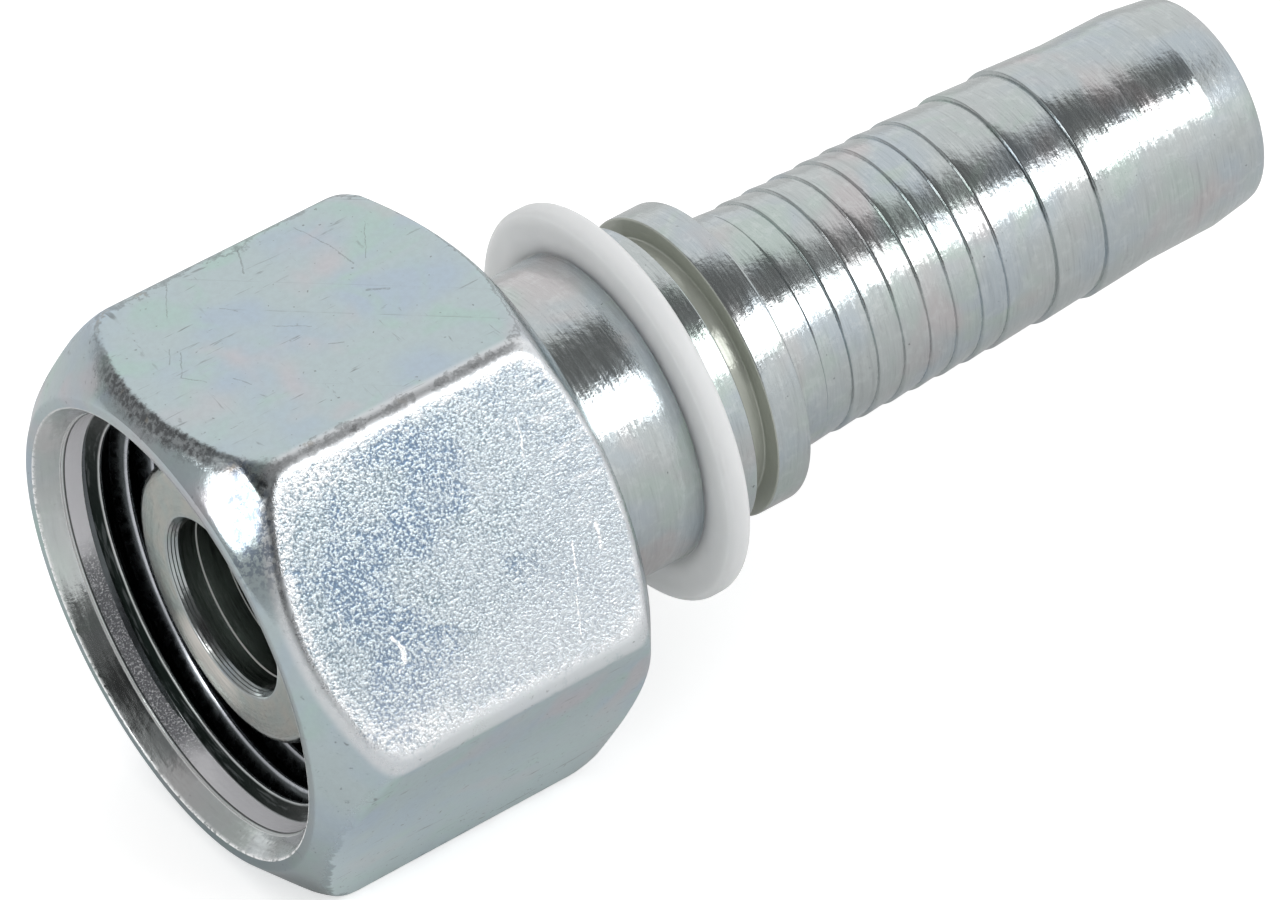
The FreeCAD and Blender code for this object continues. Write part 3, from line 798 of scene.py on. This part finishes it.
def insertSection(s):
    corners = [(0, s["boreAtNose"] + 0.24, 0.04), (0, s["noseRadius"], s["noseRound"]),
               (s["flankEnd"], s["flankRadius"], 0.2), (s["headStart"], s["headRadius"], 0.15),
               (s["headEnd"], s["headRadius"], 0.15), (s["shoulderEnd"], s["neckRadius"], 0.25)]
    corners += [(x, s["neckRadius"]) for x in np.linspace(11.5, 24.8, 12)]
    corners += [(s["neckEnd"], s["neckRadius"], 0.12), (s["neckEnd"], s["grooveRadius"], 0.1),
                (s["collarStart"], s["grooveRadius"], 0.1), (s["collarStart"], s["collarRadius"], 0.12),
                (s["collarEnd"], s["collarRadius"], 0.15), (s["collarEnd"], s["tailRadius"], 0.12)]
    rows = [s["barbStart"] + s["barbPitch"] * i for i in range(s["barbs"])]
    rows += [s["wideStart"] + s["widePitch"] * i for i in range(s["wideBarbs"] + 1)]
    # rows of points for the barb tree, close together where each crest is rounded
    for i, x in enumerate(rows):
        corners += [(x - 0.03, s["tailRadius"])]
        corners += [(x + along, s["tailRadius"] - drop) for along, drop in s["crestRound"]]
        if i + 1 < len(rows):
            corners += [(x + (rows[i + 1] - x) * part, s["tailRadius"]) for part in (0.25, 0.5, 0.75)]
    corners += [(s["taperEnd"], s["landRadius"], 0.8), (s["landEnd"], s["landRadius"], 0.8),
                (s["tipStart"] + 0.1, s["tipRadius"], 0.3), (s["end"], s["tipRadius"] - 0.12, s["tipRound"]),
                (s["end"], s["boreAtTail"] + s["chamfer"], 0.05),
                (s["end"] - s["chamfer"], s["boreAtTail"], 0.05)]
    corners += [(x, s["boreAtTail"]) for x in np.linspace(54, 16, 10)]
    corners += [(s["boreStep"] + 0.1, s["boreAtTail"]), (s["boreStep"], s["boreAtNose"])]
    corners += [(x, s["boreAtNose"] + rise, *rounding) for x, rise, *rounding in s["boreLines"]]
    return eased(corners)


def makeInsert(s):
    angles = [2 * math.pi * i / s["segments"] for i in range(s["segments"])]
    piece = placed("hoseInsert", turnedMesh("hoseInsert", insertSection(s), angles), zincTurned)
    tree = barbTree()
    for start, pitch, depth, count in (("barbStart", "barbPitch", "barbDepth", "barbs"),
                                       ("wideStart", "widePitch", "wideDepth", "wideBarbs")):
        useTree(piece, tree, Start=s[start] * mm, Pitch=s[pitch] * mm, Depth=s[depth] * mm,
                Count=s[count], BoreRadius=s["boreLimit"] * mm, Finish=zincTurned)
    flattened(piece)
    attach(piece, "insert")
    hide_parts("hose_insert")


makeInsert(insertSizes)
print("insert made")


# the union nut, hexagon bar turned at both ends and threaded inside

nutSizes = {
    "front": -3.0, "rear": 15.95, "frontFace": 12.5, "frontConeEnd": -0.975, "frontConeRadius": 14.75,
    "frontArcEnd": 0.90, "barRadius": 15.468, "rearArcStart": 12.955, "rearConeStart": 14.446,
    "rearConeRadius": 15.0, "rearFace": 12.85, "rearChamfer": 8.9, "boreRadius": 8.5, "boreEnd": 15.55,
    "seatEnd": 10.95, "seatStart": 9.26, "seatRadius": 10.19, "reliefRadius": 11.15, "threadEnd": 7.40,
    "crestRadius": 10.19, "rootRadius": 11.03, "counterbore": 11.1, "counterboreEnd": -0.62,
    "firstCrest": -0.20, "firstCrestRadius": 10.28,
    "mouthEnd": -1.77, "mouthRadius": 11.9, "halfAcrossFlats": 13.5, "edgeSoftness": 0.35,
    "cornerSoftness": 0.13, "pitch": 1.5, "turns": 5.6, "threadStart": -0.575, "leadIn": 0.35,
    "stepsATurn": 150, "toothHalf": 0.60, "crestHalf": 0.085, "sunk": 0.08,
    "frontArc": 2.8, "frontArcSteps": 22, "rearArc": 2.6, "rearArcSteps": 16, "coneStep": 0.08,
    "turnedBelow": 12.25,
    # degrees round the axis: fine steps near each corner, coarse ones on the flats
    "cornerReach": 4.0, "fineStep": 0.4, "coarseStep": 1.3,
}


def arcBetween(start, end, radius, count):
    a, b = Vector(start), Vector(end)
    middle = (a + b) / 2
    across = Vector((-(b - a).y, (b - a).x)).normalized()
    rise = math.sqrt(max(radius ** 2 - ((b - a).length / 2) ** 2, 0))
    centre = middle - across * rise if (middle - across * rise).y < middle.y else middle + across * rise
    first = math.atan2(a.y - centre.y, a.x - centre.x)
    last = math.atan2(b.y - centre.y, b.x - centre.x)
    return [(centre.x + radius * math.cos(first + (last - first) * k / count),
             centre.y + radius * math.sin(first + (last - first) * k / count)) for k in range(1, count)]


def nutSection(s):
    cone = [(s["front"], s["frontFace"], 0.25)]
    ends, radii = (s["front"], s["frontConeEnd"]), (s["frontFace"], s["frontConeRadius"])
    cone += [(x, np.interp(x, ends, radii))
             for x in np.arange(s["front"] + 0.3, s["frontConeEnd"], s["coneStep"])]
    cone += [(s["frontConeEnd"], s["frontConeRadius"])]
    cone += arcBetween(cone[-1], (s["frontArcEnd"], s["barRadius"]), s["frontArc"], s["frontArcSteps"])
    cone += [(x, s["barRadius"]) for x in np.linspace(s["frontArcEnd"], s["rearArcStart"], 14)]
    cone += arcBetween((s["rearArcStart"], s["barRadius"]), (s["rearConeStart"], s["rearConeRadius"]),
                       s["rearArc"], s["rearArcSteps"])
    ends, radii = (s["rearConeStart"], s["rear"]), (s["rearConeRadius"], s["rearFace"])
    cone += [(x, np.interp(x, ends, radii))
             for x in np.arange(s["rearConeStart"], s["rear"] - 0.15, s["coneStep"])]
    cone += [(s["rear"], s["rearFace"], 0.2)]
    inner = [(s["rear"], s["rearChamfer"], 0.1), (s["boreEnd"], s["boreRadius"], 0.1),
             (13.3, s["boreRadius"]), (s["seatEnd"], s["boreRadius"], 0.1),
             (s["seatStart"], s["seatRadius"], 0.05), (s["seatStart"], s["reliefRadius"], 0.1),
             (s["threadEnd"], s["reliefRadius"], 0.05),
             (s["threadEnd"] - 0.1, s["rootRadius"])]
    inner += [(x, s["rootRadius"]) for x in np.linspace(6.6, 0.6, 8)]
    inner += [(s["firstCrest"] + 0.50, s["rootRadius"], 0.05),
              (s["firstCrest"] + 0.09, s["firstCrestRadius"], 0.04),
              (s["firstCrest"] - 0.02, s["firstCrestRadius"], 0.04),
              (s["counterboreEnd"], s["counterbore"], 0.05), (s["mouthEnd"] + 0.06, s["counterbore"], 0.03),
              (s["mouthEnd"] - 0.02, s["counterbore"] + 0.12, 0.02),
              (s["mouthEnd"] - 0.10, s["counterbore"] + 0.10, 0.02), (s["front"], s["mouthRadius"], 0.12)]
    section = eased(cone + inner)
    zones = [1.0 if point[1] < s["turnedBelow"] else 0.0 for point in section]
    return section, zones


def hexAngles(s):
    reach, step = s["cornerReach"], s["coarseStep"]
    corner = np.arange(-reach, reach + 0.01, s["fineStep"])
    flat = np.arange(reach + step, 60.0 - reach - 0.3 * step, step)
    sixth = np.concatenate([corner, flat])
    return [math.radians(30 + 60 * k + a) for k in range(6) for a in sixth]


def threadTooth(s):
    high, wide, top = s["rootRadius"] + s["sunk"] - s["crestRadius"], s["toothHalf"], s["crestHalf"]
    curve = bpy.data.curves.new("threadTooth", "CURVE")
    spline = curve.splines.new("POLY")
    points = [(0.0, -top + 0.045), (0.0, top - 0.045), (0.04, top),
              (high, wide), (high, -wide), (0.04, -top)]
    spline.points.add(len(points) - 1)
    for point, (out, side) in zip(spline.points, reversed(points)):
        point.co = (out * mm, side * mm, 0, 1)
    spline.use_cyclic_u = True
    return bpy.data.objects.new("threadTooth", curve)


def makeNut(s):
    section, zones = nutSection(s)
    piece = placed("unionNut", turnedMesh("unionNut", section, hexAngles(s), zones), zincNut, zincMouth)
    tooth = threadTooth(s)
    bpy.context.scene.collection.objects.link(tooth)
    useTree(piece, hexagonTree(), HalfAcrossFlats=s["halfAcrossFlats"] * mm, CornerRadius=s["barRadius"] * mm,
            EdgeSoftness=s["edgeSoftness"] * mm, CornerSoftness=s["cornerSoftness"] * mm,
            Finish=zincNut, TurnedFinish=zincMouth)
    useTree(piece, threadTree(), Pitch=s["pitch"] * mm, Turns=s["turns"], Start=s["threadStart"] * mm,
            CrestRadius=s["crestRadius"] * mm, RootRadius=s["rootRadius"] * mm, LeadIn=s["leadIn"] * mm,
            RunOut=s["threadEnd"] * mm, StepsATurn=s["stepsATurn"], Tooth=tooth, Finish=zincThread)
    flattened(piece)
    bpy.data.objects.remove(tooth)
    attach(piece, "nut")
    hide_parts("union_nut")


makeNut(nutSizes)
print("nut made")


# the white ring on the neck

ringSizes = {"segments": 160, "front": 22.35, "rear": 23.65, "bore": 8.25, "outer": 10.55, "round": 0.4}


def makeRing(s):
    corners = [(s["front"], s["bore"], 0.1), (s["front"], 9.2), (s["front"], s["outer"], s["round"]),
               (s["rear"], s["outer"], s["round"]), (s["rear"], s["bore"], 0.1)]
    angles = [2 * math.pi * i / s["segments"] for i in range(s["segments"])]
    piece = placed("retainingRing", turnedMesh("retainingRing", eased(corners, 9), angles), whiteNylon)
    piece.data.shade_smooth()
    piece.data.set_sharp_from_angle(angle=math.radians(40))
    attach(piece, "ring")
    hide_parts("retaining_ring")


makeRing(ringSizes)
print("ring made")


# floor, light and camera

studio = {
    "floorHeight": -13.5, "floorGap": 0.02, "floorSize": 3.0, "floorTone": (0.80, 0.80, 0.80),
    "floorMirrored": (0.62, 0.62, 0.62), "floorLift": 0.46, "room": 0.88, "roomDiffuse": 0.92,
    # dark parts of the room that the metal mirrors: direction, cosines of its edge and its core, level
    "dark": [
        ((-0.15, -0.45, 0.88), 0.61, 0.68, 0.15),
        ((-0.72, -0.62, 0.30), 0.88, 0.95, 0.10),
        ((-0.80, 0.45, 0.38), 0.58, 0.78, 0.40),
        ((-0.60, -0.40, 0.70), 0.90, 0.96, 0.02),
    ],
    # name, shape, azimuth and elevation in degrees, distance, width, height, watts
    "lamps": [
        ("keyBox", "RECTANGLE", -61, 36.3, 0.62, 0.34, 0.25, 1.1),
        ("sideBox", "ELLIPSE", 174, 22.5, 0.60, 0.19, 0.27, 0.34),
    ],
    "eye": (-129.872, -262.121, 244.431), "aim": (23.763, -0.482, -3.138), "roll": -7.334, "lens": 225,
}


def makeFloor(s):
    half = s["floorSize"] / 2
    z = (s["floorHeight"] - s["floorGap"]) * mm
    mesh = bpy.data.meshes.new("floor")
    corners = [(-half, -half, z), (half, -half, z), (half, half, z), (-half, half, z)]
    mesh.from_pydata(corners, [], [(0, 1, 2, 3)])
    material = bpy.data.materials.new("floor")
    material.use_nodes = True
    tree = material.node_tree
    shader = tree.nodes["Principled BSDF"]
    light = tree.nodes.new("ShaderNodeLightPath").outputs
    tone = blended(tree, light["Is Glossy Ray"], s["floorTone"], s["floorMirrored"])
    put(tree, shader.inputs["Base Color"], tone)
    shader.inputs["Roughness"].default_value = 0.9
    shader.inputs["Specular IOR Level"].default_value = 0.1
    shader.inputs["Emission Color"].default_value = (1, 1, 1, 1)
    put(tree, shader.inputs["Emission Strength"], times(tree, light["Is Camera Ray"], s["floorLift"]))
    placed("floor", mesh, material)


def makeRoom(s):
    world = bpy.data.worlds.new("room")
    bpy.context.scene.world = world
    world.use_nodes = True
    tree = world.node_tree
    ground = tree.nodes["Background"]
    look = tree.nodes.new("ShaderNodeTexCoord").outputs["Generated"]
    level = s["room"]
    for towards, low, high, dark in s["dark"]:
        near = vectorSum(tree, "DOT_PRODUCT", look, tuple(Vector(towards).normalized()))
        level = sumOf(tree, "MINIMUM", level, spread(tree, near, low, high, s["room"], dark))
    light = tree.nodes.new("ShaderNodeLightPath").outputs
    put(tree, ground.inputs["Color"], (1, 1, 1, 1))
    mix = tree.nodes.new("ShaderNodeMix")
    put(tree, mix.inputs[0], light["Is Glossy Ray"])
    put(tree, mix.inputs[2], sumOf(tree, "MAXIMUM", light["Is Camera Ray"], s["roomDiffuse"]))
    put(tree, mix.inputs[3], level)
    put(tree, ground.inputs["Strength"], mix.outputs[0])


def makeLamps(s):
    aim = Vector((0.018, 0, 0))
    for name, shape, turn, lift, distance, wide, high, power in s["lamps"]:
        lamp = bpy.data.lights.new(name, "AREA")
        lamp.shape = shape
        lamp.size, lamp.size_y, lamp.energy = wide, high, power
        piece = bpy.data.objects.new(name, lamp)
        bpy.context.scene.collection.objects.link(piece)
        a, e = math.radians(turn), math.radians(lift)
        way = Vector((math.cos(e) * math.cos(a), math.cos(e) * math.sin(a), math.sin(e)))
        piece.location = aim + way * distance
        piece.rotation_mode = "QUATERNION"
        piece.rotation_quaternion = way.to_track_quat("Z", "Y")


def makeCamera(s):
    camera = bpy.data.cameras.new("camera")
    camera.lens = s["lens"]
    camera.sensor_width = 36
    camera.sensor_fit = "HORIZONTAL"
    camera.clip_start, camera.clip_end = 0.01, 10
    piece = bpy.data.objects.new("camera", camera)
    bpy.context.scene.collection.objects.link(piece)
    eye, aim = Vector(s["eye"]) * mm, Vector(s["aim"]) * mm
    piece.location = eye
    piece.rotation_mode = "QUATERNION"
    level = (aim - eye).to_track_quat("-Z", "Y")
    piece.rotation_quaternion = level @ Quaternion((0, 0, 1), math.radians(s["roll"]))
    bpy.context.scene.camera = piece


makeFloor(studio)
makeRoom(studio)
makeLamps(studio)
makeCamera(studio)
bpy.context.scene.view_settings.view_transform = "Standard"
bpy.context.view_layer.update()
print("studio made")
